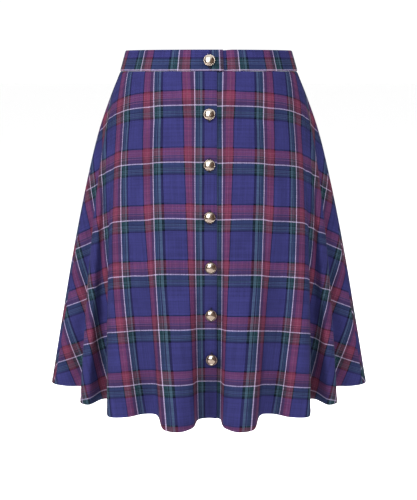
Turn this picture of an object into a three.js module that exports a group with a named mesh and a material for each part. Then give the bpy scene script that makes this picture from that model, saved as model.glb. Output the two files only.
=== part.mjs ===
import * as THREE from 'three';

// Skater skirt with a buttoned front, in millimetres: +Z up, the front faces -Y.
// The origin is the centre of the waist opening at the middle height of the waistband.

// Cloth and seams
const CLOTH_WALL = 2;
const BAND_WALL = 3;
const SEAM_GAP = 0.3;
const BAND_HEIGHT = 31;
const SEAM_Z = -BAND_HEIGHT / 2;
const SKIRT_LENGTH = 515;

// Button front: widths past the centre line, measured along the cloth
const OVERLAP = 12;
const UNDERLAP = 18;
const BAND_OVERLAP = 22;
const BAND_UNDERLAP = 18;
const STEP_RUN = 15;

// Smooth body of the skirt without its folds
const BODY_COLUMNS = ['drop', 'halfWidth', 'frontDepth', 'backDepth'];
const BODY = [
  [0, 136, 102, 98],
  [45, 153, 116, 116],
  [95, 169, 126, 134],
  [170, 186, 136, 152],
  [300, 210, 145, 172],
  [400, 226, 150, 182],
  [515, 244, 154, 190],
];
const BAND_TOP = { halfWidth: 127, frontDepth: 94, backDepth: 90 };

// Folds from the centre front round one side to the centre back.
// arc: place along the waist seam; across, forward, drop: place of the hem;
// start: share of the length where the fold begins; power: how it opens below that.
const FOLD_COLUMNS = ['arc', 'across', 'forward', 'drop', 'start', 'power'];
const FRONT_FOLDS = [
  ['centre front', 0, 0, 124, 517, 0.42, 1.2],
  ['button strip edge', 12, 13, 126, 518, 0.42, 1.2],
  ['first flute inner', 27, 25, 156, 523, 0.42, 1.2],
  ['first flute crest', 45, 44, 168, 525, 0.42, 1.2],
  ['first flute outer', 63, 64, 163, 524, 0.42, 1.2],
  ['first trough', 80, 82, 124, 511, 0.42, 1.2],
  ['front face inner', 94, 96, 123, 511, 0.3, 1.3],
  ['front face middle', 103, 122, 133, 513, 0.2, 1.4],
  ['front face edge', 112, 151, 125, 515, 0.1, 1.5],
  ['front face turn', 119, 155, 100, 512, 0.1, 1.5],
  ['second trough', 128, 148, 62, 507, 0.1, 1.5],
  ['second flute inner', 138, 164, 60, 507, 0.1, 1.2],
  ['second flute crest', 147, 188, 82, 510, 0.05, 1.0],
  ['second flute edge', 152, 198, 74, 510, 0.05, 1.0],
  ['third trough', 162, 192, 30, 505, 0.05, 1.0],
  ['side flute inner', 171, 206, 2, 504, 0.05, 1.0],
  ['side flute middle', 177, 230, 0, 504, 0.0, 1.0],
  ['side seam', 184, 252, -12, 504, 0.0, 1.0],
];
const BACK_FOLDS_LEFT = [
  ['side flute tip', 192, 258, -40, 505, 0.0, 1.0],
  ['side flute back', 201, 238, -68, 507, 0.05, 1.1],
  ['fourth trough', 213, 196, -74, 508, 0.1, 1.2],
  ['third flute inner', 224, 184, -104, 509, 0.1, 1.3],
  ['third flute tip', 238, 208, -144, 512, 0.1, 1.3],
  ['third flute back', 250, 190, -172, 512, 0.1, 1.3],
  ['fifth trough', 264, 142, -146, 508, 0.15, 1.3],
  ['fourth flute inner', 276, 124, -168, 509, 0.15, 1.3],
  ['fourth flute tip', 292, 110, -210, 513, 0.15, 1.3],
  ['fourth flute back', 306, 78, -212, 513, 0.2, 1.3],
  ['sixth trough', 322, 52, -172, 510, 0.2, 1.4],
  ['back flute inner', 338, 30, -180, 511, 0.2, 1.4],
];
const BACK_FOLDS_RIGHT = [
  ['side flute tip', 192, 259, -42, 505, 0.0, 1.0],
  ['side flute back', 202, 236, -72, 507, 0.05, 1.1],
  ['fourth trough', 214, 194, -80, 508, 0.1, 1.2],
  ['third flute inner', 226, 186, -112, 509, 0.1, 1.3],
  ['third flute tip', 239, 204, -150, 512, 0.1, 1.3],
  ['third flute back', 252, 182, -174, 512, 0.1, 1.3],
  ['fifth trough', 267, 138, -150, 508, 0.15, 1.3],
  ['fourth flute inner', 279, 116, -176, 509, 0.15, 1.3],
  ['fourth flute tip', 295, 98, -214, 513, 0.15, 1.3],
  ['fourth flute back', 308, 68, -210, 513, 0.2, 1.3],
  ['sixth trough', 324, 46, -174, 510, 0.2, 1.4],
  ['back flute inner', 339, 26, -184, 511, 0.2, 1.4],
];
const CENTRE_BACK = ['centre back', 368, 2, -203, 514, 0.2, 1.4];

// Buttons: drop below the seam and distance past the centre line
const BUTTONS = [
  { name: 'button_1', drop: -14, across: 1 },
  { name: 'button_2', drop: 62.5, across: 1 },
  { name: 'button_3', drop: 134.5, across: 1 },
  { name: 'button_4', drop: 209.5, across: 1.5 },
  { name: 'button_5', drop: 283, across: 3 },
  { name: 'button_6', drop: 354.5, across: 3.5 },
  { name: 'button_7', drop: 423, across: 4.5 },
];
const BUTTON_RADIUS = 8.7;
const BUTTON_HEIGHT = 8.4;
const SHANK_RADIUS = 2.4;
const SHANK_HEIGHT = 2.6;

// Mesh steps
const FRONT_STEPS = 62;
const BACK_STEPS = 50;
const LENGTH_STEPS = 14;
const BAND_STEPS = 48;

const COLOURS = { cloth: 0x443f86, trim: 0x4a3f80, metal: 0xcdb893 };

// Soft curve through the rows of a table; level keeps it from overshooting
function softCurve(at, values, level) {
  const last = at.length - 1;
  const step = at.slice(1).map((v, i) => v - at[i]);
  const rise = step.map((h, i) => (values[i + 1] - values[i]) / h);
  const slope = values.map((v, i) => {
    if (i === 0) return rise[0];
    if (i === last) return rise[last - 1];
    if (!level) return (step[i] * rise[i - 1] + step[i - 1] * rise[i]) / (step[i] + step[i - 1]);
    if (rise[i - 1] * rise[i] <= 0) return 0;
    const before = (2 * step[i] + step[i - 1]) / rise[i - 1];
    const after = (step[i] + 2 * step[i - 1]) / rise[i];
    return (3 * (step[i - 1] + step[i])) / (before + after);
  });
  return (v) => {
    let i = 0;
    while (i < last - 1 && v >= at[i + 1]) i += 1;
    const h = step[i];
    const k = (v - at[i]) / h;
    const low = (1 + 2 * k) * (1 - k) ** 2 * values[i] + k * (1 - k) ** 2 * h * slope[i];
    return low + k * k * (3 - 2 * k) * values[i + 1] - k * k * (1 - k) * h * slope[i + 1];
  };
}

const column = (rows, names, name, skip = 0) => rows.map((r) => r[names.indexOf(name) + skip]);

// Body sections by share of the length
const bodyShare = column(BODY, BODY_COLUMNS, 'drop').map((d) => d / SKIRT_LENGTH);
const halfWidthAt = softCurve(bodyShare, column(BODY, BODY_COLUMNS, 'halfWidth'), true);
const frontDepthAt = softCurve(bodyShare, column(BODY, BODY_COLUMNS, 'frontDepth'), true);
const backDepthAt = softCurve(bodyShare, column(BODY, BODY_COLUMNS, 'backDepth'), true);

// Arc length round the waist seam, from the centre front, against the body angle
const RING_STEPS = 2000;
const ringAngle = [0];
const ringArc = [0];
for (let i = 1; i <= RING_STEPS; i += 1) {
  const at = (a) => {
    const depth = Math.cos(a) > 0 ? frontDepthAt(0) : backDepthAt(0);
    return [halfWidthAt(0) * Math.sin(a), depth * Math.cos(a)];
  };
  const a = (i * 2 * Math.PI) / RING_STEPS;
  const [x0, y0] = at(ringAngle[i - 1]);
  const [x1, y1] = at(a);
  ringAngle.push(a);
  ringArc.push(ringArc[i - 1] + Math.hypot(x1 - x0, y1 - y0));
}
const WAIST_ROUND = ringArc[RING_STEPS];
const TABLE_ROUND = 2 * CENTRE_BACK[1];

function angleAtArc(arc) {
  const turns = Math.floor(arc / WAIST_ROUND);
  const rest = arc - turns * WAIST_ROUND;
  let low = 0;
  let high = RING_STEPS;
  while (high - low > 1) {
    const middle = (low + high) >> 1;
    if (ringArc[middle] <= rest) low = middle;
    else high = middle;
  }
  const k = (rest - ringArc[low]) / (ringArc[high] - ringArc[low]);
  return turns * 2 * Math.PI + ringAngle[low] + k * (ringAngle[high] - ringAngle[low]);
}

// All folds round the hem: image-right side, centre back, image-left side
function mirrored(row) {
  const [name, arc, across, ...rest] = row;
  return [name, TABLE_ROUND - arc, -across, ...rest];
}
const rightHalf = [...FRONT_FOLDS, ...BACK_FOLDS_RIGHT];
const leftHalf = [...FRONT_FOLDS, ...BACK_FOLDS_LEFT].slice(1).map(mirrored).reverse();
const ROUND_ROWS = [...rightHalf, CENTRE_BACK, ...leftHalf];
const shifted = (row, turn) => [row[0], row[1] + turn * TABLE_ROUND, ...row.slice(2)];
const PAD = 3;
const FOLDS = [
  ...ROUND_ROWS.slice(-PAD).map((r) => shifted(r, -1)),
  ...ROUND_ROWS,
  ...ROUND_ROWS.slice(0, PAD + 1).map((r) => shifted(r, 1)),
];
const hemAcross = column(FOLDS, FOLD_COLUMNS, 'across', 1);
const hemForward = column(FOLDS, FOLD_COLUMNS, 'forward', 1);
const chord = [0];
for (let i = 1; i < FOLDS.length; i += 1) {
  const dx = hemAcross[i] - hemAcross[i - 1];
  const dy = hemForward[i] - hemForward[i - 1];
  chord.push(chord[i - 1] + Math.hypot(dx, dy));
}
const hemRound = chord[PAD + ROUND_ROWS.length] - chord[PAD];
const place = chord.map((c) => (c - chord[PAD]) / hemRound);
const sideSeam = place[PAD + FRONT_FOLDS.length - 1];
const centreBack = place[PAD + rightHalf.length];

// Angle of each hem row on the smooth body, rising all the way round
const hemAngle = [];
hemAcross.forEach((x, i) => {
  const y = hemForward[i];
  const depth = y > 0 ? frontDepthAt(1) : backDepthAt(1);
  let a = Math.atan2(x / halfWidthAt(1), y / depth);
  if (i > 0) {
    while (a < hemAngle[i - 1] - Math.PI) a += 2 * Math.PI;
    a = Math.max(a, hemAngle[i - 1]);
  }
  hemAngle.push(a);
});
const angleShift = hemAngle[PAD];
const arcAt = softCurve(place, column(FOLDS, FOLD_COLUMNS, 'arc', 1), true);
const acrossAt = softCurve(place, hemAcross, false);
const forwardAt = softCurve(place, hemForward, false);
const dropAt = softCurve(place, column(FOLDS, FOLD_COLUMNS, 'drop', 1), false);
const startAt = softCurve(place, column(FOLDS, FOLD_COLUMNS, 'start', 1), true);
const powerAt = softCurve(place, column(FOLDS, FOLD_COLUMNS, 'power', 1), true);
const hemAngleAt = softCurve(place, hemAngle.map((a) => a - angleShift), true);

// Point of the middle of the cloth: u round the hem, t from seam (0) to hem (1)
function clothPoint(round, t) {
  const u = round - Math.floor(round);
  const waistAngle = angleAtArc((arcAt(u) * WAIST_ROUND) / TABLE_ROUND);
  const low = hemAngleAt(u);
  const a = waistAngle + (low - waistAngle) * t;
  const depth = (angle, share) => (Math.cos(angle) > 0 ? frontDepthAt(share) : backDepthAt(share));
  const opened = Math.max(0, (t - startAt(u)) / (1 - startAt(u))) ** powerAt(u);
  const offAcross = acrossAt(u) - halfWidthAt(1) * Math.sin(low);
  const offForward = forwardAt(u) - depth(low, 1) * Math.cos(low);
  const x = halfWidthAt(t) * Math.sin(a) + offAcross * opened;
  const y = depth(a, t) * Math.cos(a) + offForward * opened;
  return new THREE.Vector3(x, -y, SEAM_Z - SEAM_GAP / 2 - dropAt(u) * t);
}

// Point of the middle of the waistband at an arc from the centre front
function bandPoint(arc, t) {
  const a = angleAtArc(arc);
  const front = Math.cos(a) > 0;
  const lowDepth = front ? frontDepthAt(0) : backDepthAt(0);
  const topDepth = front ? BAND_TOP.frontDepth : BAND_TOP.backDepth;
  const width = halfWidthAt(0) + (BAND_TOP.halfWidth - halfWidthAt(0)) * t;
  const depth = lowDepth + (topDepth - lowDepth) * t;
  const z = SEAM_Z + SEAM_GAP / 2 + (BAND_HEIGHT - SEAM_GAP / 2) * t;
  return new THREE.Vector3(width * Math.sin(a), -depth * Math.cos(a), z);
}

function outwardAt(point, u, t, du) {
  const dt = 0.002;
  const t0 = Math.max(0, t - dt);
  const t1 = Math.min(1, t + dt);
  const along = point(u + du, t).sub(point(u - du, t));
  const down = point(u, t1).sub(point(u, t0));
  return down.cross(along).normalize();
}

const smooth = (k) => {
  const c = Math.min(1, Math.max(0, k));
  return c * c * (3 - 2 * c);
};

// Place round the hem, at one height, that lies an arc past the centre front
function placeAtArc(arc, t) {
  const sign = Math.sign(arc) || 1;
  let u = 0;
  let length = 0;
  const du = 0.0004;
  let from = clothPoint(0, t);
  while (length < Math.abs(arc)) {
    const to = clothPoint(u + sign * du, t);
    const add = to.distanceTo(from);
    if (length + add > Math.abs(arc)) return u + (sign * du * (Math.abs(arc) - length)) / add;
    length += add;
    from = to;
    u += sign * du;
  }
  return u;
}

// Half of the seam gap, as a step round the hem at one height
function gapStep(u, t) {
  const d = 0.0005;
  const rate = clothPoint(u + d, t).distanceTo(clothPoint(u - d, t)) / (2 * d);
  return SEAM_GAP / 2 / rate;
}

// Closed wall between two offset sheets of a grid of points
function wall(columns, rows, pointAt) {
  const positions = [];
  for (const side of [1, -1]) {
    for (let j = 0; j <= rows; j += 1) {
      for (let i = 0; i <= columns; i += 1) positions.push(...pointAt(i, j, side).toArray());
    }
  }
  const sheet = (columns + 1) * (rows + 1);
  const id = (i, j, inner) => inner * sheet + j * (columns + 1) + i;
  const index = [];
  const quad = (a, b, c, d) => index.push(a, b, c, a, c, d);
  for (let j = 0; j < rows; j += 1) {
    for (let i = 0; i < columns; i += 1) {
      quad(id(i, j, 0), id(i, j + 1, 0), id(i + 1, j + 1, 0), id(i + 1, j, 0));
      quad(id(i, j, 1), id(i + 1, j, 1), id(i + 1, j + 1, 1), id(i, j + 1, 1));
    }
    quad(id(0, j, 1), id(0, j + 1, 1), id(0, j + 1, 0), id(0, j, 0));
    quad(id(columns, j, 0), id(columns, j + 1, 0), id(columns, j + 1, 1), id(columns, j, 1));
  }
  for (let i = 0; i < columns; i += 1) {
    quad(id(i, 0, 1), id(i, 0, 0), id(i + 1, 0, 0), id(i + 1, 0, 1));
    quad(id(i, rows, 0), id(i, rows, 1), id(i + 1, rows, 1), id(i + 1, rows, 0));
  }
  const geometry = new THREE.BufferGeometry();
  geometry.setAttribute('position', new THREE.Float32BufferAttribute(positions, 3));
  geometry.setIndex(index);
  geometry.computeVertexNormals();
  return geometry;
}

const group = new THREE.Group();
group.name = 'skater_skirt';

function add(name, geometry, colour, roughness, metalness) {
  const material = new THREE.MeshStandardMaterial({ color: colour, roughness, metalness });
  const mesh = new THREE.Mesh(geometry, material);
  mesh.name = name;
  group.add(mesh);
}

// Rows sit closer together towards the seam, where the body curves most
const lengthShare = (j) => (j / LENGTH_STEPS) ** 1.15;

// Panel between two edges, each a function of the height; inset steps it inward
function panel(steps, fromEdge, toEdge, inset) {
  const edges = [];
  for (let j = 0; j <= LENGTH_STEPS; j += 1) {
    const t = lengthShare(j);
    edges.push([fromEdge(t), toEdge(t)]);
  }
  return wall(steps, LENGTH_STEPS, (i, j, side) => {
    const t = lengthShare(j);
    const [from, to] = edges[j];
    const u = from + ((to - from) * i) / steps;
    const out = outwardAt(clothPoint, u, t, 0.0006);
    return clothPoint(u, t).addScaledVector(out, (side * CLOTH_WALL) / 2 - inset(u, t));
  });
}

const seamEdge = (u, into) => (t) => u + into * gapStep(u, t);
const lapEdge = (t) => placeAtArc(OVERLAP, t);
const underEdge = (t) => placeAtArc(-UNDERLAP, t);
const flat = () => 0;
const layer = CLOTH_WALL + SEAM_GAP;
const stepEnds = [0, 0.25, 0.5, 0.75, 1].map((t) => ({
  from: placeAtArc(OVERLAP + 1.5, t),
  to: placeAtArc(OVERLAP + 1.5 + STEP_RUN, t),
}));
const stepFrom = softCurve([0, 0.25, 0.5, 0.75, 1], stepEnds.map((e) => e.from), true);
const stepTo = softCurve([0, 0.25, 0.5, 0.75, 1], stepEnds.map((e) => e.to), true);
const underStep = (u, t) => layer * (1 - smooth((u - stepFrom(t)) / (stepTo(t) - stepFrom(t))));

const panels = [
  ['front_right', FRONT_STEPS, seamEdge(-sideSeam, 1), lapEdge, flat],
  ['front_left', FRONT_STEPS, underEdge, seamEdge(sideSeam, -1), underStep],
  ['back_left', BACK_STEPS, seamEdge(sideSeam, 1), seamEdge(centreBack, -1), flat],
  ['back_right', BACK_STEPS, seamEdge(centreBack, 1), seamEdge(1 - sideSeam, -1), flat],
];
for (const [name, ...shape] of panels) add(name, panel(...shape), COLOURS.cloth, 0.85, 0);

// Waistband: two strips joined at the centre back, one end over the other at the front
const bandLayer = BAND_WALL + SEAM_GAP;
const bandDown = (arc, h) => bandPoint(arc, 1 - h);
function bandStrip(fromArc, toArc, stepped) {
  return wall(BAND_STEPS, 2, (i, j, side) => {
    const arc = fromArc + ((toArc - fromArc) * i) / BAND_STEPS;
    const past = (arc - BAND_OVERLAP - 1.5) / STEP_RUN;
    const inset = stepped ? bandLayer * (1 - smooth(past)) : 0;
    const out = outwardAt(bandDown, arc, j / 2, 0.5);
    return bandDown(arc, j / 2).addScaledVector(out, (side * BAND_WALL) / 2 - inset);
  });
}
const bandHalf = (WAIST_ROUND - SEAM_GAP) / 2;
add('waistband_right', bandStrip(-bandHalf, BAND_OVERLAP, false), COLOURS.trim, 0.85, 0);
add('waistband_left', bandStrip(-BAND_UNDERLAP, bandHalf, true), COLOURS.trim, 0.85, 0);

// Domed button on a short shank, turned round its own axis
const buttonProfile = [
  [0, 0],
  [SHANK_RADIUS, 0],
  [SHANK_RADIUS, SHANK_HEIGHT],
  [BUTTON_RADIUS * 0.86, SHANK_HEIGHT + 0.2],
  [BUTTON_RADIUS, SHANK_HEIGHT + 1.3],
  [BUTTON_RADIUS * 0.95, SHANK_HEIGHT + 2.5],
  [BUTTON_RADIUS * 0.78, SHANK_HEIGHT + 4.1],
  [BUTTON_RADIUS * 0.42, SHANK_HEIGHT + 5.4],
  [0, BUTTON_HEIGHT],
];
for (const { name, drop, across } of BUTTONS) {
  const onBand = drop < 0;
  const t = onBand ? -drop / BAND_HEIGHT : drop / dropAt(0);
  const u = onBand ? across : placeAtArc(across, t);
  const at = onBand ? bandPoint(u, t) : clothPoint(u, t);
  const front = onBand
    ? outwardAt(bandDown, u, 1 - t, 0.5)
    : outwardAt(clothPoint, u, t, 0.0006);
  const lift = (onBand ? BAND_WALL : CLOTH_WALL) / 2 + SEAM_GAP;
  const geometry = new THREE.LatheGeometry(buttonProfile.map(([r, h]) => new THREE.Vector2(r, h)), 20);
  const turn = new THREE.Quaternion().setFromUnitVectors(new THREE.Vector3(0, 1, 0), front);
  geometry.applyQuaternion(turn);
  geometry.translate(...at.addScaledVector(front, lift).toArray());
  add(name, geometry, COLOURS.metal, 0.3, 0.9);
}

export default group;
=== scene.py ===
import math

import bpy
import numpy as np
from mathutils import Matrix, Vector


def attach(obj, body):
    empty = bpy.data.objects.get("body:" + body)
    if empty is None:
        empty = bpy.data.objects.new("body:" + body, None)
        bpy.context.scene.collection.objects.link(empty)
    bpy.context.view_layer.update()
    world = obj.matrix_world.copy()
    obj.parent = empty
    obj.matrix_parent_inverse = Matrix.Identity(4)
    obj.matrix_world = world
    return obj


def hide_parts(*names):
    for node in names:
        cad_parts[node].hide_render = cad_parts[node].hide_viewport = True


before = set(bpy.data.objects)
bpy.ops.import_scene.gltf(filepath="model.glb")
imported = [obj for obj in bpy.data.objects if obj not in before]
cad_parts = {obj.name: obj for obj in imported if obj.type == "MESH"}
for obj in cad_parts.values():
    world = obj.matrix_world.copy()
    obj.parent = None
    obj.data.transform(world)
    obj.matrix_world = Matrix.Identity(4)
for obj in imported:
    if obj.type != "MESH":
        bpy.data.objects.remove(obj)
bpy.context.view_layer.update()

# Cut and folds are in millimetres, as on a cutting sheet; MM makes them metres.
MM = 0.001

# Cloth and seams; a dip is how far in from an edge the cloth rolls, and how deep
CLOTH = 0.9
SEAM_GAP = 0.3
SEAM_HAIR = 0.05
BAND_HEIGHT = 31.0
SEAM_Z = -BAND_HEIGHT / 2
SKIRT_LENGTH = 515.0
OVERLAP = 12.0
UNDERLAP = 18.0
BAND_OVERLAP = 22.0
BAND_UNDERLAP = 18.0
STEP_CLEAR = 1.0
STEP_RUN = 15.0
LAP_STEP = 3.0
BAND_CLOTH = 2.0
BAND_STEP = 3.3
HEM_TURN = 6.0
HEM_FOLD = 1.6
HEM_THICK = 0.28
HEM_UNDER = 0.8
HEM_GROOVE = {"deep": 0.3, "above": 1.2, "wide": 1.3}
WAIST_DIP = (2.4, 0.7)
SEAM_DIP = (2.2, 0.6)
LAP_DIP = (2.6, 1.1)
HEM_DIP = (1.0, 0.3)
BAND_TOP_DIP = (1.6, 0.8)
BAND_LOW_DIP = (1.6, 0.6)
BAND_END_DIP = (1.4, 0.6)
CREASE_FADE = 25.0
WAIST_EASE = {"high": 0.18, "pitch": 7.5, "fade": 16.0}
ROW_SPREAD = 1.05

# Smooth body of the skirt without its folds
BODY_COLUMNS = ("drop", "half_width", "front_depth", "back_depth")
BODY = (
    (0, 136, 102, 98),
    (45, 153, 116, 116),
    (95, 169, 126, 134),
    (170, 186, 136, 152),
    (300, 210, 145, 172),
    (400, 226, 150, 182),
    (515, 244, 154, 190),
)
BAND_TOP = {"half_width": 127.0, "front_depth": 94.0, "back_depth": 90.0}

# Folds from the centre front round one side to the centre back.
# arc is the place along the waist seam; across, forward and drop place the hem;
# start is the share of the length where the fold begins; power is how it opens below.
FOLD_COLUMNS = ("fold", "arc", "across", "forward", "drop", "start", "power")
FRONT_FOLDS = (
    ("centre front", 0, 0, 124, 517, 0.42, 1.2),
    ("button strip edge", 12, 13, 126, 518, 0.42, 1.2),
    ("first flute inner", 27, 25, 156, 523, 0.42, 1.2),
    ("first flute crest", 45, 44, 168, 525, 0.42, 1.2),
    ("first flute outer", 63, 64, 163, 524, 0.42, 1.2),
    ("first trough", 80, 82, 124, 511, 0.42, 1.2),
    ("front face inner", 94, 96, 123, 511, 0.3, 1.3),
    ("front face middle", 103, 122, 133, 513, 0.2, 1.4),
    ("front face edge", 112, 151, 125, 515, 0.1, 1.5),
    ("front face turn", 119, 155, 100, 512, 0.1, 1.5),
    ("second trough", 128, 148, 62, 507, 0.1, 1.5),
    ("second flute inner", 138, 164, 60, 507, 0.1, 1.2),
    ("second flute crest", 147, 188, 82, 510, 0.05, 1.0),
    ("second flute edge", 152, 198, 74, 510, 0.05, 1.0),
    ("third trough", 162, 192, 30, 505, 0.05, 1.0),
    ("side flute inner", 171, 206, 2, 504, 0.05, 1.0),
    ("side flute middle", 177, 230, 0, 504, 0.0, 1.0),
    ("side seam", 184, 252, -12, 504, 0.0, 1.0),
)
BACK_FOLDS_LEFT = (
    ("side flute tip", 192, 258, -40, 505, 0.0, 1.0),
    ("side flute back", 201, 238, -68, 507, 0.05, 1.1),
    ("fourth trough", 213, 196, -74, 508, 0.1, 1.2),
    ("third flute inner", 224, 184, -104, 509, 0.1, 1.3),
    ("third flute tip", 238, 208, -144, 512, 0.1, 1.3),
    ("third flute back", 250, 190, -172, 512, 0.1, 1.3),
    ("fifth trough", 264, 142, -146, 508, 0.15, 1.3),
    ("fourth flute inner", 276, 124, -168, 509, 0.15, 1.3),
    ("fourth flute tip", 292, 110, -210, 513, 0.15, 1.3),
    ("fourth flute back", 306, 78, -212, 513, 0.2, 1.3),
    ("sixth trough", 322, 52, -172, 510, 0.2, 1.4),
    ("back flute inner", 338, 30, -180, 511, 0.2, 1.4),
)
BACK_FOLDS_RIGHT = (
    ("side flute tip", 192, 259, -42, 505, 0.0, 1.0),
    ("side flute back", 202, 236, -72, 507, 0.05, 1.1),
    ("fourth trough", 214, 194, -80, 508, 0.1, 1.2),
    ("third flute inner", 226, 186, -112, 509, 0.1, 1.3),
    ("third flute tip", 239, 204, -150, 512, 0.1, 1.3),
    ("third flute back", 252, 182, -174, 512, 0.1, 1.3),
    ("fifth trough", 267, 138, -150, 508, 0.15, 1.3),
    ("fourth flute inner", 279, 116, -176, 509, 0.15, 1.3),
    ("fourth flute tip", 295, 98, -214, 513, 0.15, 1.3),
    ("fourth flute back", 308, 68, -210, 513, 0.2, 1.3),
    ("sixth trough", 324, 46, -174, 510, 0.2, 1.4),
    ("back flute inner", 339, 26, -184, 511, 0.2, 1.4),
)
CENTRE_BACK = ("centre back", 368, 2, -203, 514, 0.2, 1.4)

# Buttons: node, drop below the seam, distance past the centre line
BUTTONS = (
    ("button_1", -14.0, 1.0),
    ("button_2", 62.5, 1.0),
    ("button_3", 134.5, 1.0),
    ("button_4", 209.5, 1.5),
    ("button_5", 283.0, 3.0),
    ("button_6", 354.5, 3.5),
    ("button_7", 423.0, 4.5),
)
BUTTON_RADIUS = 8.7
BUTTON_HEIGHT = 8.4
SHANK_HEIGHT = 2.6
BUTTONHOLE_LENGTH = 21.0
BUTTONHOLE_WIDTH = 2.4

# Soft creases on the cut: distance from the centre, drop, length, width, lean in degrees, depth
FRONT_CREASES = (
    (34, 84, 46, 6, 72, -0.5),
    (40, 150, 40, 5, 105, -0.45),
    (30, 232, 52, 7, 80, -0.5),
    (52, 306, 60, 8, 12, -0.7),
    (96, 118, 70, 10, 20, -0.6),
    (120, 70, 60, 9, 30, -0.7),
    (142, 190, 90, 10, 14, 0.7),
    (108, 260, 80, 9, -6, -0.7),
    (72, 200, 60, 8, 8, 0.4),
    (128, 360, 90, 10, 4, 0.8),
    (168, 290, 80, 9, 16, -0.8),
    (150, 452, 60, 8, 8, 0.6),
    (210, 400, 70, 9, 20, 0.6),
    (300, 430, 70, 8, 24, -0.6),
)
BACK_CREASES = (
    (-60, 90, 70, 9, -16, -0.6),
    (52, 110, 80, 9, 18, -0.6),
    (-110, 150, 80, 10, -22, 0.6),
    (100, 200, 90, 10, 14, 0.7),
    (-30, 250, 70, 8, 4, -0.5),
    (28, 300, 80, 9, -5, 0.5),
    (-150, 300, 90, 10, -18, -0.7),
    (160, 330, 80, 10, 20, -0.7),
    (-80, 400, 80, 9, -8, 0.6),
    (90, 440, 70, 8, 8, -0.6),
    (-220, 420, 80, 9, -20, 0.6),
    (230, 440, 80, 9, 22, 0.6),
)

# Check: bands of colour in one repeat, from the light line outward and downward
WARP_REPEAT = 62.0
WARP_FIRST_LINE = 20.1
WEFT_REPEAT = 82.0
WEFT_FIRST_LINE = 47.4
BAND_WARP_START = -46.4
BAND_WEFT_START = 0.6
WEFT_SHARE = 0.45
LAP_SLIP = 1.2

# Weave and unevenness: lengths in millimetres, scales per metre, shows and tones as a share
WANDER = 0.9
WANDER_SCALE = 30
TWILL_PITCH = 1.3
TWILL_SHOW = 0.10
TWILL_HEIGHT = 0.4
SLUB_SCALE = 900
SLUB_SHOW = 0.5
SLUB_HEIGHT = 1.2
STREAK_SHOW = 0.35
STREAK_FINE = 620
STREAK_LONG = 9
STREAK_TONE = 0.8
PATCH_TONE = 0.55
PATCH_SCALE = 26
FLECK_TONE = 0.30
FLECK_SCALE = 420

# How far the front's warp lines move toward the centre, away from an even spacing: rows by
# distance from the centre line, columns by height down the cut. A minus moves them outward.
GRAIN_HEIGHTS = {"waist": 0, "hip": 70, "thigh": 300, "hem": 515}
GRAIN_COLUMNS = ("from_centre", "waist", "hip", "thigh", "hem")
GRAIN = (
    (0, 0, 0, 0, 0),
    (21, 0, 3, 4, 4),
    (83, 0, 4, -4, -5),
    (145, 9, 14, -7, -21),
    (207, 8, 9, -6, -11),
    (330, 0, 0, 0, 0),
)

COLOURS = {
    "line": (0.12, 0.1, 0.145),
    "red": (0.036, 0.007, 0.0155),
    "wine": (0.016, 0.0055, 0.011),
    "dark": (0.0005, 0.0004, 0.0014),
    "blue": (0.0073, 0.0073, 0.031),
    "navy": (0.0006, 0.0008, 0.0032),
    "green": (0.0027, 0.008, 0.011),
    "moss": (0.0005, 0.0016, 0.0022),
    "mist": (0.012, 0.022, 0.032),
    "rose": (0.049, 0.015, 0.025),
}
WARP_BANDS = (
    ("line", 1.4),
    ("wine", 5.4),
    ("red", 4.8),
    ("rose", 0.8),
    ("red", 6.2),
    ("dark", 1.3),
    ("blue", 27.6),
    ("navy", 3.4),
    ("mist", 3.8),
    ("moss", 1.3),
    ("mist", 0.8),
    ("green", 5.2),
)
WEFT_BANDS = (
    ("line", 1.4),
    ("green", 5.8),
    ("moss", 1.3),
    ("mist", 0.9),
    ("green", 1.8),
    ("mist", 0.9),
    ("moss", 1.1),
    ("mist", 0.9),
    ("green", 2.6),
    ("navy", 2.4),
    ("blue", 41.0),
    ("dark", 1.8),
    ("red", 4.0),
    ("rose", 0.8),
    ("red", 2.2),
    ("rose", 0.8),
    ("red", 2.0),
    ("rose", 0.8),
    ("wine", 2.4),
    ("rose", 0.8),
    ("wine", 6.3),
)

# Plate: colour, tarnish, roughness; and the colours of the threads
PALE_GOLD = ((0.68, 0.61, 0.53), (0.44, 0.37, 0.31), 0.17)
DARK_GOLD = ((0.11, 0.08, 0.06), (0.04, 0.03, 0.02), 0.35)
HEM_THREAD = (0.004, 0.003, 0.012)
BUTTONHOLE_THREAD = (0.004, 0.004, 0.015)

# Mesh steps
FRONT_STEPS = 170
BACK_STEPS = 150
LENGTH_STEPS = 120
BAND_STEPS = 150
BAND_ROWS = 16

# Camera: distance, height, downward tilt and lens in the photograph's upright frame
CAMERA_DISTANCE = 1700.0
CAMERA_SIDE = -0.3
CAMERA_HEIGHT = SEAM_Z + 1.0
CAMERA_TILT = 9.4
CAMERA_LENS = 78.1
SENSOR = 36.0
FLOOR_Z = -0.95
FLOOR_SIZE = 80.0

# Studio, in metres and watts: name, place, aim, size, power, seen in reflections
ROOM_BRIGHTNESS = 1.06
LIGHTS = (
    ("key", (-0.5, -2.7, 1.3), (0, 0, -0.25), (0.9, 0.9), 100, False),
    ("side_key", (-2.15, -1.6, 1.2), (0, 0, -0.3), (0.8, 0.8), 240, False),
    ("side_fill", (2.15, -1.6, 1.2), (0, 0, -0.3), (0.8, 0.8), 175, False),
    ("glint", (-0.8, -2.0, 0.85), (0, 0, -0.25), (1.5, 1.9), 60, True),
    ("rim", (0.8, 2.2, 1.6), (0, 0, -0.2), (1.4, 1.0), 45, False),
)

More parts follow.
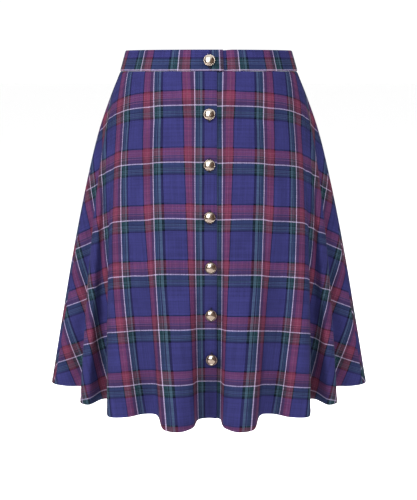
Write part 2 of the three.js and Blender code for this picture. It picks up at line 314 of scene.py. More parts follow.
# Dark cards that only show as reflections: name, place, aim, size, shade
FLAGS = (
    ("flag_front", (0.0, -3.3, 0.3), (0, 0, 0.3), (5.0, 3.4), (0.05, 0.04, 0.035)),
    ("flag_right", (0.75, -1.2, 0.2), (0, -1.0, 0.2), (2.8, 2.4), (0.03, 0.02, 0.015)),
    ("flag_left", (-1.5, -1.0, 0.2), (0, -1.0, 0.2), (2.8, 2.4), (0.03, 0.02, 0.015)),
    ("flag_low", (0.0, -1.7, -0.94), (0, -1.7, 1.0), (5.0, 3.0), (0.17, 0.15, 0.14)),
)


def soft_curve(at, values, level):
    """Soft curve through the rows of a table; level keeps it from overshooting."""
    at = np.asarray(at, float)
    values = np.asarray(values, float)
    step = np.diff(at)
    rise = np.diff(values) / step
    slope = np.zeros_like(values)
    slope[0] = rise[0]
    slope[-1] = rise[-1]
    for i in range(1, len(values) - 1):
        if not level:
            slope[i] = (step[i] * rise[i - 1] + step[i - 1] * rise[i]) / (step[i] + step[i - 1])
        elif rise[i - 1] * rise[i] > 0:
            before = (2 * step[i] + step[i - 1]) / rise[i - 1]
            after = (step[i] + 2 * step[i - 1]) / rise[i]
            slope[i] = 3 * (step[i - 1] + step[i]) / (before + after)

    def curve(v):
        v = np.asarray(v, float)
        i = np.clip(np.searchsorted(at, v, side="right") - 1, 0, len(at) - 2)
        k = (v - at[i]) / step[i]
        low = (1 + 2 * k) * (1 - k) ** 2 * values[i] + k * (1 - k) ** 2 * step[i] * slope[i]
        high = k * k * (3 - 2 * k) * values[i + 1] - k * k * (1 - k) * step[i] * slope[i + 1]
        return low + high

    return curve


def smooth(k):
    k = np.clip(k, 0, 1)
    return k * k * (3 - 2 * k)


def column(rows, names, name):
    return np.array([row[names.index(name)] for row in rows], float)


class Form:
    """Middle surface of the cloth: folds hung from the waist seam over a smooth body."""

    PAD = 3

    def __init__(self):
        share = column(BODY, BODY_COLUMNS, "drop") / SKIRT_LENGTH
        self.half_width = soft_curve(share, column(BODY, BODY_COLUMNS, "half_width"), True)
        self.front_depth = soft_curve(share, column(BODY, BODY_COLUMNS, "front_depth"), True)
        self.back_depth = soft_curve(share, column(BODY, BODY_COLUMNS, "back_depth"), True)
        self.ring_angle = np.linspace(0, 2 * np.pi, 2001)
        x, y = self.body(self.ring_angle, 0.0)
        self.ring_arc = np.r_[0, np.cumsum(np.hypot(np.diff(x), np.diff(y)))]
        self.waist_round = self.ring_arc[-1]
        self.table_round = 2.0 * CENTRE_BACK[1]
        self.read_folds()

    def body(self, angle, t):
        depth = np.where(np.cos(angle) > 0, self.front_depth(t), self.back_depth(t))
        return self.half_width(t) * np.sin(angle), depth * np.cos(angle)

    def read_folds(self):
        right = list(FRONT_FOLDS + BACK_FOLDS_RIGHT)
        left = [
            (name, self.table_round - arc, -across, *rest)
            for name, arc, across, *rest in reversed((FRONT_FOLDS + BACK_FOLDS_LEFT)[1:])
        ]
        rows = right + [CENTRE_BACK] + left
        count = len(rows)
        before = [(r[0], r[1] - self.table_round, *r[2:]) for r in rows[-self.PAD:]]
        after = [(r[0], r[1] + self.table_round, *r[2:]) for r in rows[: self.PAD + 1]]
        folds = before + rows + after
        across = column(folds, FOLD_COLUMNS, "across")
        forward = column(folds, FOLD_COLUMNS, "forward")
        chord = np.r_[0, np.cumsum(np.hypot(np.diff(across), np.diff(forward)))]
        chord -= chord[self.PAD]
        place = chord / chord[self.PAD + count]
        depth = np.where(forward > 0, self.front_depth(1.0), self.back_depth(1.0))
        angle = np.unwrap(np.arctan2(across / self.half_width(1.0), forward / depth))
        angle = np.maximum.accumulate(angle)
        self.arc = soft_curve(place, column(folds, FOLD_COLUMNS, "arc"), True)
        self.across = soft_curve(place, across, False)
        self.forward = soft_curve(place, forward, False)
        self.drop = soft_curve(place, column(folds, FOLD_COLUMNS, "drop"), False)
        self.start = soft_curve(place, column(folds, FOLD_COLUMNS, "start"), True)
        self.power = soft_curve(place, column(folds, FOLD_COLUMNS, "power"), True)
        self.hem_angle = soft_curve(place, angle - angle[self.PAD], True)
        self.side_seam = place[self.PAD + len(FRONT_FOLDS) - 1]
        self.centre_back = place[self.PAD + len(right)]

    def point(self, u, t):
        """Point at u round the hem (0 to 1, from the centre front) and t down from the seam."""
        u, t = np.broadcast_arrays(np.asarray(u, float) % 1.0, np.asarray(t, float))
        arc = self.arc(u) * self.waist_round / self.table_round
        waist = np.interp(arc, self.ring_arc, self.ring_angle)
        low = self.hem_angle(u)
        angle = waist + (low - waist) * t
        opened = np.clip((t - self.start(u)) / (1 - self.start(u)), 0, 1) ** self.power(u)
        x, y = self.body(angle, t)
        hem_x, hem_y = self.body(low, 1.0)
        x = x + (self.across(u) - hem_x) * opened
        y = y + (self.forward(u) - hem_y) * opened
        return np.stack([x, -y, SEAM_Z - SEAM_GAP / 2 - self.drop(u) * t], -1)

    def outward(self, u, t):
        du, dt = 0.0006, 0.003
        along = self.point(u + du, t) - self.point(u - du, t)
        down = self.point(u, np.minimum(t + dt, 1)) - self.point(u, np.maximum(t - dt, 0))
        normal = np.cross(down, along)
        return normal / np.linalg.norm(normal, axis=-1, keepdims=True)

    def place_at_arc(self, arc, t):
        """Place round the hem, at height t, an arc past the centre front."""
        u = np.sign(arc) * np.linspace(0, 0.06, 400)
        points = self.point(u, t)
        lengths = np.r_[0, np.cumsum(np.linalg.norm(np.diff(points, axis=0), axis=1))]
        return np.interp(abs(arc), lengths, u)


FORM = Form()


class Cut:
    """Flat cut of a half panel: its straight grain on the centre line, flared by its hem."""

    def __init__(self, centre, edge):
        self.sign = 1.0 if edge > centre else -1.0
        self.centre = centre
        self.u = np.linspace(0, abs(edge - centre), 1500)
        u = centre + self.sign * self.u
        waist = FORM.point(u, 0.0)
        hem = FORM.point(u, 1.0)
        arc = np.r_[0, np.cumsum(np.linalg.norm(np.diff(waist, axis=0), axis=1))]
        hem_arc = np.r_[0, np.cumsum(np.linalg.norm(np.diff(hem, axis=0), axis=1))]
        self.lean = np.maximum.accumulate((hem_arc - arc) / SKIRT_LENGTH)
        middle = (self.lean[1:] + self.lean[:-1]) / 2
        self.x = np.r_[0, np.cumsum(np.cos(middle) * np.diff(arc))]
        self.y = -np.r_[0, np.cumsum(np.sin(middle) * np.diff(arc))]
        self.slant = np.linalg.norm(hem - waist, axis=-1)

    def at(self, u, t):
        """Distance from the centre line and drop on the flat cut."""
        off = (u - self.centre) * self.sign
        side = np.where(off < 0, -1.0, 1.0)
        k = np.abs(off)
        lean = np.interp(k, self.u, self.lean)
        length = np.interp(k, self.u, self.slant) * t
        x = np.interp(k, self.u, self.x) + length * np.sin(lean)
        return side * x, np.interp(k, self.u, self.y) + length * np.cos(lean)

    def drift(self, x, y):
        return 0.0


class FrontCut(Cut):
    """Cut of a front, its warp lines moved as the GRAIN table says."""

    def drift(self, x, y):
        lines = column(GRAIN, GRAIN_COLUMNS, "from_centre")
        moved = [np.interp(x, lines, column(GRAIN, GRAIN_COLUMNS, name)) for name in GRAIN_HEIGHTS]
        heights = list(GRAIN_HEIGHTS.values())
        result = moved[0]
        for near, far, low, high in zip(moved, moved[1:], heights, heights[1:]):
            result = result + (far - near) * np.clip((y - low) / (high - low), 0, 1)
        return result


def crease_relief(creases, x, y):
    relief = np.zeros_like(x)
    for cx, cy, length, width, lean, depth in creases:
        angle = math.radians(lean)
        along = (x - cx) * math.sin(angle) + (y - cy) * math.cos(angle)
        across = (x - cx) * math.cos(angle) - (y - cy) * math.sin(angle)
        relief += depth * np.exp(-((along / length) ** 2) - (across / width) ** 2)
    return relief


def edge_dip(distance, reach, depth):
    return -depth * (1 - smooth(distance / reach))


def shell_mesh(name, outer, inner, cut_x, cut_y):
    """Closed shell between two grids of points, with the flat cut as its UV map in metres."""
    rows, columns = outer.shape[0] - 1, outer.shape[1] - 1
    points = np.concatenate([outer.reshape(-1, 3), inner.reshape(-1, 3)]) * MM
    sheet = (rows + 1) * (columns + 1)
    j, i = np.meshgrid(np.arange(rows), np.arange(columns), indexing="ij")
    a = (j * (columns + 1) + i).ravel()
    b = a + columns + 1
    faces = [np.stack([a, b, b + 1, a + 1], 1), np.stack([a, a + 1, b + 1, b], 1) + sheet]
    r = np.arange(rows) * (columns + 1)
    faces.append(np.stack([r + sheet, r + columns + 1 + sheet, r + columns + 1, r], 1))
    r = r + columns
    faces.append(np.stack([r, r + columns + 1, r + columns + 1 + sheet, r + sheet], 1))
    c = np.arange(columns)
    faces.append(np.stack([c + sheet, c, c + 1, c + 1 + sheet], 1))
    c = c + rows * (columns + 1)
    faces.append(np.stack([c, c + sheet, c + 1 + sheet, c + 1], 1))
    faces = np.concatenate(faces)
    mesh = bpy.data.meshes.new(name)
    mesh.vertices.add(len(points))
    mesh.vertices.foreach_set("co", points.astype(np.float32).ravel())
    mesh.loops.add(faces.size)
    mesh.loops.foreach_set("vertex_index", faces.astype(np.int32).ravel())
    mesh.polygons.add(len(faces))
    mesh.polygons.foreach_set("loop_start", (np.arange(len(faces)) * 4).astype(np.int32))
    mesh.update(calc_edges=True)
    flat = np.stack([cut_x.ravel(), cut_y.ravel()], 1) * MM
    flat = np.concatenate([flat, flat])
    uv = mesh.uv_layers.new(name="cut")
    uv.data.foreach_set("uv", flat[faces.ravel()].astype(np.float32).ravel())
    mesh.polygons.foreach_set("use_smooth", np.ones(len(faces), bool))
    mesh.set_sharp_from_angle(angle=math.radians(50))
    piece = bpy.data.objects.new(name, mesh)
    bpy.context.scene.collection.objects.link(piece)
    return piece


def panel(name, steps, from_edge, to_edge, cut, creases, inset, seams, slip):
    """Panel of the skirt between two edges; seams says which edges are sewn."""
    t = np.linspace(0, 1, LENGTH_STEPS + 1) ** ROW_SPREAD
    left = np.array([from_edge(v) for v in t])
    right = np.array([to_edge(v) for v in t])
    k = np.linspace(0, 1, steps + 1)
    u = left[:, None] + (right - left)[:, None] * k[None, :]
    tt = np.repeat(t[:, None], steps + 1, 1)
    middle = FORM.point(u, tt)
    out = FORM.outward(u, tt)
    cut_x, cut_y = cut.at(u, tt)
    along = np.linalg.norm(np.diff(middle, axis=1), axis=2)
    along = np.concatenate([np.zeros((len(t), 1)), np.cumsum(along, 1)], 1)
    from_left = along
    from_right = along[:, -1:] - along
    to_hem = np.linalg.norm(middle[-1:, :, :] - middle, axis=2)
    from_waist = np.linalg.norm(middle - middle[:1, :, :], axis=2)
    relief = crease_relief(creases, cut_x, cut_y) * smooth(from_waist / CREASE_FADE)
    ease = np.sin(cut_x / WAIST_EASE["pitch"]) * np.exp(-from_waist / WAIST_EASE["fade"])
    relief += WAIST_EASE["high"] * ease
    dip = edge_dip(from_waist, *WAIST_DIP)
    for distance, sewn in ((from_left, seams[0]), (from_right, seams[1])):
        dip = np.minimum(dip, edge_dip(distance, *(SEAM_DIP if sewn else LAP_DIP)))
    relief += dip
    turned = 1 - smooth((to_hem - HEM_TURN) / HEM_FOLD)
    groove = np.exp(-(((to_hem - HEM_TURN - HEM_GROOVE["above"]) / HEM_GROOVE["wide"]) ** 2))
    relief += HEM_THICK * turned - HEM_GROOVE["deep"] * groove
    relief += edge_dip(to_hem, *HEM_DIP)
    relief -= inset(u, tt)
    outer = middle + out * (relief + CLOTH / 2)[..., None]
    inner = middle + out * (relief - CLOTH / 2 - HEM_UNDER * turned)[..., None]
    piece = shell_mesh(name, outer, inner, cut_x + cut.drift(cut_x, cut_y), cut_y - slip)
    return piece, cut_x, cut_y


def ramp_of(tree, bands, repeat):
    """Colour ramp over one repeat, each band of yarn beginning at its own stop."""
    ramp = tree.nodes.new("ShaderNodeValToRGB")
    ramp.color_ramp.interpolation = "CONSTANT"
    stops = ramp.color_ramp.elements
    stops.remove(stops[1])
    at = 0.0
    for colour, width in bands:
        stop = stops.new(at / repeat) if at else stops[0]
        stop.color = (*COLOURS[colour], 1)
        at += width
    return ramp


def maths(tree, operation, a, b=None):
    node = tree.nodes.new("ShaderNodeMath")
    node.operation = operation
    for socket, value in zip(node.inputs, (a, b)):
        if value is None:
            continue
        if isinstance(value, (int, float)):
            socket.default_value = value
        else:
            tree.links.new(value, socket)
    return node.outputs[0]


def noise(tree, vector, scale, detail=2.0):
    node = tree.nodes.new("ShaderNodeTexNoise")
    node.inputs["Scale"].default_value = scale
    node.inputs["Detail"].default_value = detail
    tree.links.new(vector, node.inputs["Vector"])
    return node.outputs["Fac"]


def swing(tree, value, amount):
    """A noise value taken to both sides of nothing, by half the amount each way."""
    return maths(tree, "MULTIPLY", maths(tree, "SUBTRACT", value, 0.5), amount)


def drawn_out(tree, parts, across, down):
    """Place on the cut scaled apart in its two directions, so that a noise runs in streaks."""
    place = tree.nodes.new("ShaderNodeCombineXYZ")
    tree.links.new(maths(tree, "MULTIPLY", parts.outputs[0], across), place.inputs[0])
    tree.links.new(maths(tree, "MULTIPLY", parts.outputs[1], down), place.inputs[1])
    return place.outputs[0]


def new_material(name):
    material = bpy.data.materials.new(name)
    material.use_nodes = True
    tree = material.node_tree
    return material, tree, tree.nodes["Principled BSDF"]


def check_cloth(name, warp_start, weft_start):
    """Woven check: warp bands across and weft bands down, streaked along both yarns."""
    material, tree, shader = new_material(name)
    link = tree.links.new
    uv = tree.nodes.new("ShaderNodeUVMap")
    uv.uv_map = "cut"
    parts = tree.nodes.new("ShaderNodeSeparateXYZ")
    link(uv.outputs[0], parts.inputs[0])
    wander = swing(tree, noise(tree, uv.outputs[0], WANDER_SCALE), WANDER * MM)
    x = maths(tree, "ADD", parts.outputs[0], wander)
    y = maths(tree, "ADD", parts.outputs[1], wander)
    ramps = []
    for value, start, repeat, bands in (
        (x, warp_start, WARP_REPEAT, WARP_BANDS),
        (y, weft_start, WEFT_REPEAT, WEFT_BANDS),
    ):
        shifted = maths(tree, "SUBTRACT", value, start * MM)
        phase = maths(tree, "FRACT", maths(tree, "MULTIPLY", shifted, 1 / (repeat * MM)))
        ramp = ramp_of(tree, bands, repeat)
        link(phase, ramp.inputs[0])
        ramps.append(ramp.outputs[0])
    diagonal = maths(tree, "ADD", parts.outputs[0], parts.outputs[1])
    twill = maths(tree, "SINE", maths(tree, "MULTIPLY", diagonal, 2 * math.pi / (TWILL_PITCH * MM)))
    slub = maths(tree, "SUBTRACT", noise(tree, uv.outputs[0], SLUB_SCALE, 3), 0.5)
    streaks = [
        maths(tree, "SUBTRACT", noise(tree, drawn_out(tree, parts, across, down), 1, 2), 0.5)
        for across, down in ((STREAK_FINE, STREAK_LONG), (STREAK_LONG, STREAK_FINE))
    ]
    streak = maths(tree, "SUBTRACT", streaks[0], streaks[1])
    twill_shows = maths(tree, "MULTIPLY", twill, TWILL_SHOW)
    show = maths(tree, "ADD", twill_shows, maths(tree, "MULTIPLY", slub, SLUB_SHOW))
    show = maths(tree, "ADD", show, maths(tree, "MULTIPLY", streak, STREAK_SHOW))
    mix = tree.nodes.new("ShaderNodeMix")
    mix.data_type = "RGBA"
    link(maths(tree, "ADD", show, WEFT_SHARE), mix.inputs[0])
    link(ramps[0], mix.inputs[6])
    link(ramps[1], mix.inputs[7])
    tone = tree.nodes.new("ShaderNodeHueSaturation")
    patch = swing(tree, noise(tree, uv.outputs[0], PATCH_SCALE, 4), PATCH_TONE)
    fleck = swing(tree, noise(tree, uv.outputs[0], FLECK_SCALE, 2), FLECK_TONE)
    uneven = maths(tree, "MULTIPLY", maths(tree, "ADD", streaks[0], streaks[1]), STREAK_TONE)
    value = maths(tree, "ADD", maths(tree, "ADD", patch, fleck), maths(tree, "ADD", uneven, 1.0))
    link(value, tone.inputs["Value"])
    link(mix.outputs[2], tone.inputs["Color"])
    link(tone.outputs[0], shader.inputs["Base Color"])
    ribs = maths(tree, "MULTIPLY", twill, TWILL_HEIGHT)
    height = maths(tree, "ADD", ribs, maths(tree, "MULTIPLY", slub, SLUB_HEIGHT))
    bump = tree.nodes.new("ShaderNodeBump")
    bump.inputs["Strength"].default_value = 0.35
    bump.inputs["Distance"].default_value = 0.25 * MM
    link(height, bump.inputs["Height"])
    link(bump.outputs[0], shader.inputs["Normal"])
    shader.inputs["Roughness"].default_value = 0.86
    shader.inputs["Specular IOR Level"].default_value = 0.04
    return material


def thread(name, colour):
    material, tree, shader = new_material(name)
    where = tree.nodes.new("ShaderNodeTexCoord")
    grain = noise(tree, where.outputs["Object"], 1500, 2)
    tone = tree.nodes.new("ShaderNodeMix")
    tone.data_type = "RGBA"
    tree.links.new(grain, tone.inputs[0])
    tone.inputs[6].default_value = (*[c * 0.7 for c in colour], 1)
    tone.inputs[7].default_value = (*[c * 1.3 for c in colour], 1)
    tree.links.new(tone.outputs[2], shader.inputs["Base Color"])
    shader.inputs["Roughness"].default_value = 0.7
    return material


def metal(name, colour, dark, roughness):
    """Pale plated metal with faint brushing and tarnish in random patches."""
    material, tree, shader = new_material(name)
    where = tree.nodes.new("ShaderNodeTexCoord")
    cloud = noise(tree, where.outputs["Object"], 260, 3)
    tone = tree.nodes.new("ShaderNodeMix")
    tone.data_type = "RGBA"
    tree.links.new(maths(tree, "MULTIPLY", cloud, 0.6), tone.inputs[0])
    tone.inputs[6].default_value = (*colour, 1)
    tone.inputs[7].default_value = (*dark, 1)
    tree.links.new(tone.outputs[2], shader.inputs["Base Color"])
    fine = noise(tree, where.outputs["Object"], 2200, 2)
    rough = maths(tree, "ADD", maths(tree, "MULTIPLY", fine, 0.10), roughness)
    tree.links.new(rough, shader.inputs["Roughness"])
    shader.inputs["Metallic"].default_value = 1.0
    return material


def stitch_tree():
    """Stitches laid along a path: each a flattened bead of thread, turned to lie on the cloth."""
    tree = bpy.data.node_groups.new("stitches", "GeometryNodeTree")
    tree.is_modifier = True
    face = tree.interface
    face.new_socket("Geometry", in_out="INPUT", socket_type="NodeSocketGeometry")
    for name, value in (
        ("Spacing", 3.0 * MM),
        ("Stitch Length", 2.4 * MM),
        ("Thread", 0.25 * MM),
        ("Turn", 0.0),
    ):
        socket = face.new_socket(name, in_out="INPUT", socket_type="NodeSocketFloat")
        socket.default_value = value
    face.new_socket("Material", in_out="INPUT", socket_type="NodeSocketMaterial")
    face.new_socket("Geometry", in_out="OUTPUT", socket_type="NodeSocketGeometry")
    new, link = tree.nodes.new, tree.links.new
    given = new("NodeGroupInput")
    made = new("NodeGroupOutput")
    path = new("GeometryNodeMeshToCurve")
    link(given.outputs["Geometry"], path.inputs[0])
    even = new("GeometryNodeResampleCurve")
    even.mode = "LENGTH"
    link(path.outputs[0], even.inputs["Curve"])
    link(given.outputs["Spacing"], even.inputs["Length"])
    bead = new("GeometryNodeMeshUVSphere")
    bead.inputs["Segments"].default_value = 6
    bead.inputs["Rings"].default_value = 4
    bead.inputs["Radius"].default_value = 1.0
    half = new("ShaderNodeMath")
    half.operation = "MULTIPLY"
    half.inputs[1].default_value = 0.5
    link(given.outputs["Stitch Length"], half.inputs[0])
    size = new("ShaderNodeCombineXYZ")
    link(half.outputs[0], size.inputs[0])
    link(given.outputs["Thread"], size.inputs[1])
    link(given.outputs["Thread"], size.inputs[2])
    tangent = new("GeometryNodeInputTangent")
    lie = new("GeometryNodeInputNamedAttribute")
    lie.data_type = "FLOAT_VECTOR"
    lie.inputs["Name"].default_value = "lie"
    first = new("FunctionNodeAlignRotationToVector")
    first.axis = "X"
    link(tangent.outputs[0], first.inputs["Vector"])
    second = new("FunctionNodeAlignRotationToVector")
    second.axis = "Z"
    second.pivot_axis = "X"
    link(first.outputs[0], second.inputs["Rotation"])
    link(lie.outputs[0], second.inputs["Vector"])
    spin = new("FunctionNodeAxisAngleToRotation")
    spin.inputs["Axis"].default_value = (0, 0, 1)
    link(given.outputs["Turn"], spin.inputs["Angle"])
    turned = new("FunctionNodeRotateRotation")
    turned.rotation_space = "LOCAL"
    link(second.outputs[0], turned.inputs["Rotation"])
    link(spin.outputs[0], turned.inputs["Rotate By"])
    laid = new("GeometryNodeInstanceOnPoints")
    link(even.outputs[0], laid.inputs["Points"])
    link(bead.outputs[0], laid.inputs["Instance"])
    link(turned.outputs[0], laid.inputs["Rotation"])
    link(size.outputs[0], laid.inputs["Scale"])
    real = new("GeometryNodeRealizeInstances")
    link(laid.outputs[0], real.inputs[0])
    coloured = new("GeometryNodeSetMaterial")
    link(real.outputs[0], coloured.inputs["Geometry"])
    link(given.outputs["Material"], coloured.inputs["Material"])
    link(coloured.outputs[0], made.inputs[0])
    return tree


def stitch_along(name, paths, tree, values, material):
    """One mesh of stitches along several paths, each a list of points with their outward side."""
    points, lies, edges = [], [], []
    for path, out in paths:
        start = len(points)
        points.extend((path * MM).tolist())
        lies.extend(out.tolist())
        edges.extend((start + i, start + i + 1) for i in range(len(path) - 1))
    mesh = bpy.data.meshes.new(name)
    mesh.from_pydata(points, edges, [])
    attribute = mesh.attributes.new("lie", "FLOAT_VECTOR", "POINT")
    attribute.data.foreach_set("vector", np.array(lies, np.float32).ravel())
    guide = bpy.data.objects.new(name + "_guide", mesh)
    bpy.context.scene.collection.objects.link(guide)
    modifier = guide.modifiers.new("stitches", "NODES")
    modifier.node_group = tree
    sockets = {s.name: s.identifier for s in tree.interface.items_tree if s.in_out == "INPUT"}
    for key, value in values.items():
        modifier[sockets[key]] = value
    modifier[sockets["Material"]] = material
    bpy.context.view_layer.update()
    seen = guide.evaluated_get(bpy.context.evaluated_depsgraph_get())
    result = bpy.data.meshes.new_from_object(seen)
    result.name = name
    guide.modifiers.remove(modifier)
    bpy.data.objects.remove(guide)
    result.polygons.foreach_set("use_smooth", np.ones(len(result.polygons), bool))
    piece = bpy.data.objects.new(name, result)
    bpy.context.scene.collection.objects.link(piece)
    return piece


def dress(piece, material, replaced=()):
    piece.data.materials.clear()
    piece.data.materials.append(material)
    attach(piece, "root")
    if replaced:
        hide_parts(*replaced)


def seam_edge(u, into):
    """Edge of a panel a hair to one side of the seam at u."""
    def edge(t):
        d = 0.0005
        rate = np.linalg.norm(FORM.point(u + d, t) - FORM.point(u - d, t)) / (2 * d)
        return u + into * SEAM_HAIR / rate

    return edge


def skirt_panels(cloth):
    def lap_edge(t):
        return FORM.place_at_arc(OVERLAP, t)

    def under_edge(t):
        return FORM.place_at_arc(-UNDERLAP, t)

    heights = np.linspace(0, 1, 9)
    near = [FORM.place_at_arc(OVERLAP + STEP_CLEAR, t) for t in heights]
    far = [FORM.place_at_arc(OVERLAP + STEP_CLEAR + STEP_RUN, t) for t in heights]
    step_from = soft_curve(heights, near, True)
    step_to = soft_curve(heights, far, True)

    def under_step(u, t):
        return LAP_STEP * (1 - smooth((u - step_from(t)) / (step_to(t) - step_from(t))))

    def no_step(u, t):
        return 0.0

    side, back = FORM.side_seam, FORM.centre_back
    specs = (
        ("front_right", FRONT_STEPS, seam_edge(-side, 1), lap_edge, FrontCut(0.0, -side),
         FRONT_CREASES, no_step, (True, False), 0.0),
        ("front_left", FRONT_STEPS, under_edge, seam_edge(side, -1), FrontCut(0.0, side),
         FRONT_CREASES[::2], under_step, (False, True), LAP_SLIP),
        ("back_left", BACK_STEPS, seam_edge(side, 1), seam_edge(back, -1), Cut(back, side),
         BACK_CREASES[::2], no_step, (True, True), 0.0),
        ("back_right", BACK_STEPS, seam_edge(back, 1), seam_edge(1 - side, -1), Cut(back, 1 - side),
         BACK_CREASES[1::2], no_step, (True, True), 0.0),
    )
    for node, *spec in specs:
        piece, cut_x, cut_y = panel(node + "_cloth", *spec)
        dress(piece, cloth, (node,))


def band_point(arc, h):
    """Middle of the waistband at an arc from the centre front and h up from the seam."""
    arc = np.asarray(arc, float) % FORM.waist_round
    angle = np.interp(arc, FORM.ring_arc, FORM.ring_angle)
    front = np.cos(angle) > 0
    low_x, low_y = FORM.body(angle, 0.0)
    width = BAND_TOP["half_width"] / FORM.half_width(0.0)
    depth = np.where(front, BAND_TOP["front_depth"] / FORM.front_depth(0.0),
                     BAND_TOP["back_depth"] / FORM.back_depth(0.0))
    x = low_x * (1 + (width - 1) * h)
    y = low_y * (1 + (depth - 1) * h)
    z = SEAM_Z + SEAM_GAP / 2 + (BAND_HEIGHT - SEAM_GAP / 2) * h
    return np.stack([x, -y, z + 0 * x], -1)


def band_outward(arc, h):
    along = band_point(arc + 0.5, h) - band_point(arc - 0.5, h)
    down = band_point(arc, 0.0) - band_point(arc, 1.0)
    normal = np.cross(down, along)
    return normal / np.linalg.norm(normal, axis=-1, keepdims=True)


def band_strip(name, from_arc, to_arc, turn, lapped_under):
    """Half of the contoured band, doubled, from the centre back to past the centre front."""
    even = np.linspace(0, 1, BAND_ROWS + 1)
    h = 1 - smooth(even) * 0.5 - even * 0.5
    arc = np.linspace(from_arc, to_arc, BAND_STEPS + 1)
    hh, aa = np.meshgrid(h, arc, indexing="ij")
    middle = band_point(aa, hh)
    out = band_outward(aa, hh)
    up = hh * BAND_HEIGHT
    down = (1 - hh) * BAND_HEIGHT
    tucked = 1 - smooth((aa - BAND_OVERLAP - STEP_CLEAR) / STEP_RUN)
    step = BAND_STEP * tucked if lapped_under else 0.0
    ends = np.minimum(aa - arc[0], arc[-1] - aa)
    round_off = np.minimum(edge_dip(down, *BAND_TOP_DIP), edge_dip(up, *BAND_LOW_DIP))
    round_off = np.minimum(round_off, edge_dip(ends, *BAND_END_DIP))
    ripple = 0.12 * np.sin(aa / 9.0) + 0.1 * np.sin(aa / 23.0 + up / 11.0)
    relief = ripple * smooth(down / 8) - step
    outer = middle + out * (relief + BAND_CLOTH / 2 + round_off)[..., None]
    inner = middle + out * (relief - BAND_CLOTH / 2 - round_off * 0.6)[..., None]
    return shell_mesh(name + "_cloth", outer, inner, aa * turn, up)


def waistband(cloth):
    half = FORM.waist_round / 2 - SEAM_HAIR
    for node, from_arc, to_arc, turn, lapped_under in (
        ("waistband_right", -half, BAND_OVERLAP, 1, False),
        ("waistband_left", -BAND_UNDERLAP, half, -1, True),
    ):
        piece = band_strip(node, from_arc, to_arc, turn, lapped_under)
        dress(piece, cloth, (node,))


def seat(drop, across):
    """Place and outward side of the cloth under a button."""
    if drop < 0:
        h = -drop / BAND_HEIGHT
        arc = np.array(across)
        return band_point(arc, h), band_outward(arc, h), 1.5 + SEAM_GAP
    t = drop / float(FORM.drop(0.0))
    u = FORM.place_at_arc(across, t)
    return FORM.point(u, t), FORM.outward(u, t), 1.0 + SEAM_GAP


def lathe(name, profile, segments, origin, axis):
    """Turned piece: profile rows are radius, height, material number."""
    turn = Vector((0, 0, 1)).rotation_difference(Vector(axis)).to_matrix()
    points, faces, numbers = [], [], []
    rings = []
    for radius, height, _ in profile:
        if radius < 1e-6:
            rings.append([len(points)] * segments)
            points.append(turn @ Vector((0, 0, height)))
            continue
        ring = []
        for s in range(segments):
            a = 2 * math.pi * s / segments
            ring.append(len(points))
            points.append(turn @ Vector((radius * math.cos(a), radius * math.sin(a), height)))
        rings.append(ring)
    for low, high, (_, _, number) in zip(rings, rings[1:], profile[1:]):
        for s in range(segments):
            n = (s + 1) % segments
            corners = [low[s], low[n], high[n], high[s]]
            face = [c for i, c in enumerate(corners) if c not in corners[:i]]
            if len(face) > 2:
                faces.append(face)
                numbers.append(number)
    mesh = bpy.data.meshes.new(name)
    mesh.from_pydata([(p + Vector(origin)) * MM for p in points], [], faces)
    mesh.polygons.foreach_set("material_index", numbers)
    mesh.polygons.foreach_set("use_smooth", np.ones(len(faces), bool))
    mesh.set_sharp_from_angle(angle=math.radians(40))
    piece = bpy.data.objects.new(name, mesh)
    bpy.context.scene.collection.objects.link(piece)
    return piece


def button_profile():
    """Shank, rolled rim and dome, from the seat up."""
    rim = [(BUTTON_RADIUS - 1.0 + 0.95 * math.sin(a), SHANK_HEIGHT + 1.3 - 1.0 * math.cos(a), 1)
           for a in np.linspace(0.1, math.pi * 0.93, 9)]
    dome_base = BUTTON_RADIUS - 1.15
    low = SHANK_HEIGHT + 2.2
    dome = [(dome_base * math.cos(a), low + (BUTTON_HEIGHT - low) * math.sin(a), 0)
            for a in np.linspace(0.0, math.pi / 2, 14)]
    dome[-1] = (0.0, BUTTON_HEIGHT, 0)
    shank = [(0.0, 0.0, 1), (1.9, 0.0, 1), (2.2, 0.5, 1), (2.2, SHANK_HEIGHT - 0.4, 1),
             (2.8, SHANK_HEIGHT + 0.1, 1)]
    return shank + rim + dome


def buttons(face, rim):
    for node, drop, across in BUTTONS:
        origin, axis, lift = seat(drop, across)
        piece = lathe(node + "_turned", button_profile(), 48, origin + axis * lift, axis)
        piece.data.materials.append(face)
        piece.data.materials.append(rim)
        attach(piece, "root")
        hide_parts(node)


def hem_paths():
    paths = []
    for start, end, inset in (
        (-FORM.side_seam + 0.001, FORM.place_at_arc(OVERLAP - 2, 1.0), 0.0),
        (FORM.place_at_arc(OVERLAP + 1.5, 1.0), FORM.side_seam - 0.001, 1.0),
        (FORM.side_seam + 0.001, 1 - FORM.side_seam - 0.001, 0.0),
    ):
        u = np.linspace(start, end, 700)
        t = 1 - HEM_TURN / FORM.drop(u % 1.0)
        out = FORM.outward(u, t)
        sink = np.zeros_like(u)
        if inset:
            run = FORM.place_at_arc(OVERLAP + STEP_CLEAR + STEP_RUN, 1.0)
            low = FORM.place_at_arc(OVERLAP + STEP_CLEAR, 1.0)
            sink = LAP_STEP * (1 - smooth((u - low) / (run - low)))
        paths.append((FORM.point(u, t) + out * (CLOTH / 2 + 0.12 - sink)[..., None], out))
    return paths


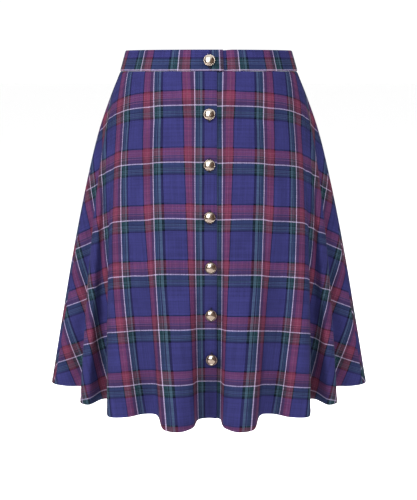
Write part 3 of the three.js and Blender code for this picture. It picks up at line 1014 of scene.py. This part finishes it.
def buttonhole_paths():
    paths = []
    for _, drop, across in BUTTONS:
        angle = np.linspace(0, 2 * math.pi, 60)
        side = np.sign(np.cos(angle)) * np.abs(np.cos(angle)) ** 0.35 * BUTTONHOLE_WIDTH / 2
        high = np.sign(np.sin(angle)) * np.abs(np.sin(angle)) ** 0.8 * BUTTONHOLE_LENGTH / 2
        if drop < 0:
            h = np.clip(-(drop + high) / BAND_HEIGHT, 0, 1)
            arc = across + side
            out = band_outward(arc, h)
            paths.append((band_point(arc, h) + out * (BAND_CLOTH / 2 + 0.15), out))
            continue
        t = (drop + high) / float(FORM.drop(0.0))
        u = np.array([FORM.place_at_arc(across + s, v) for s, v in zip(side, t)])
        out = FORM.outward(u, t)
        paths.append((FORM.point(u, t) + out * (CLOTH / 2 + 0.12), out))
    return paths


def sewing(hem_thread, hole_thread):
    tree = stitch_tree()
    hem = stitch_along("hem_stitches", hem_paths(), tree,
                       {"Spacing": 3.4 * MM, "Stitch Length": 2.7 * MM, "Thread": 0.2 * MM,
                        "Turn": 0.0},
                       hem_thread)
    holes = stitch_along("buttonhole_stitches", buttonhole_paths(), tree,
                         {"Spacing": 0.5 * MM, "Stitch Length": 2.0 * MM, "Thread": 0.24 * MM,
                          "Turn": math.pi / 2},
                         hole_thread)
    for piece in (hem, holes):
        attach(piece, "root")


def floor():
    mesh = bpy.data.meshes.new("floor")
    size = FLOOR_SIZE
    mesh.from_pydata([(-size, -size, FLOOR_Z), (size, -size, FLOOR_Z), (size, size, FLOOR_Z),
                      (-size, size, FLOOR_Z)], [], [(0, 1, 2, 3)])
    piece = bpy.data.objects.new("floor", mesh)
    bpy.context.scene.collection.objects.link(piece)
    material, _, shader = new_material("pale_floor")
    shader.inputs["Base Color"].default_value = (0.93, 0.93, 0.93, 1)
    shader.inputs["Roughness"].default_value = 0.9
    mesh.materials.append(material)


def area_light(name, place, aim, size, power, mirrored):
    data = bpy.data.lights.new(name, "AREA")
    data.shape = "RECTANGLE"
    data.size, data.size_y = size
    data.energy = power
    light = bpy.data.objects.new(name, data)
    light.location = place
    light.visible_glossy = mirrored
    light.rotation_euler = (Vector(aim) - Vector(place)).to_track_quat("-Z", "Y").to_euler()
    bpy.context.scene.collection.objects.link(light)


def flag(name, place, aim, size, shade):
    """Dark card out of the picture that only shows as a reflection."""
    mesh = bpy.data.meshes.new(name)
    turn = (Vector(aim) - Vector(place)).to_track_quat("-Z", "Y").to_matrix()
    x, y = size[0] / 2, size[1] / 2
    flat = ((-x, -y, 0), (x, -y, 0), (x, y, 0), (-x, y, 0))
    corners = [turn @ Vector(c) + Vector(place) for c in flat]
    mesh.from_pydata(corners, [], [(0, 1, 2, 3)])
    card = bpy.data.objects.new(name, mesh)
    bpy.context.scene.collection.objects.link(card)
    material, _, shader = new_material(name + "_card")
    shader.inputs["Base Color"].default_value = (*shade, 1)
    shader.inputs["Roughness"].default_value = 1.0
    shader.inputs["Specular IOR Level"].default_value = 0.0
    mesh.materials.append(material)
    card.visible_camera = False
    card.visible_diffuse = False
    card.visible_shadow = False


def studio():
    bpy.context.scene.view_settings.view_transform = "Standard"
    floor()
    world = bpy.data.worlds.new("studio")
    bpy.context.scene.world = world
    world.use_nodes = True
    back = world.node_tree.nodes["Background"]
    back.inputs[0].default_value = (1, 1, 1, 1)
    back.inputs[1].default_value = ROOM_BRIGHTNESS
    for light in LIGHTS:
        area_light(*light)
    for card in FLAGS:
        flag(*card)


def camera():
    data = bpy.data.cameras.new("camera")
    data.sensor_fit = "VERTICAL"
    data.sensor_height = SENSOR
    data.lens = CAMERA_LENS
    data.clip_end = 300
    eye = bpy.data.objects.new("camera", data)
    eye.location = (CAMERA_SIDE * MM, -CAMERA_DISTANCE * MM, CAMERA_HEIGHT * MM)
    eye.rotation_euler = (math.radians(90 - CAMERA_TILT), 0, 0)
    bpy.context.scene.collection.objects.link(eye)
    bpy.context.scene.camera = eye


camera()
studio()
skirt_cloth = check_cloth("skirt_check", WARP_FIRST_LINE, WEFT_FIRST_LINE)
band_cloth = check_cloth("waistband_check", BAND_WARP_START, BAND_WEFT_START)
waistband(band_cloth)
skirt_panels(skirt_cloth)
buttons(metal("pale_gold", *PALE_GOLD), metal("dark_gold", *DARK_GOLD))
sewing(thread("hem_thread", HEM_THREAD), thread("buttonhole_thread", BUTTONHOLE_THREAD))
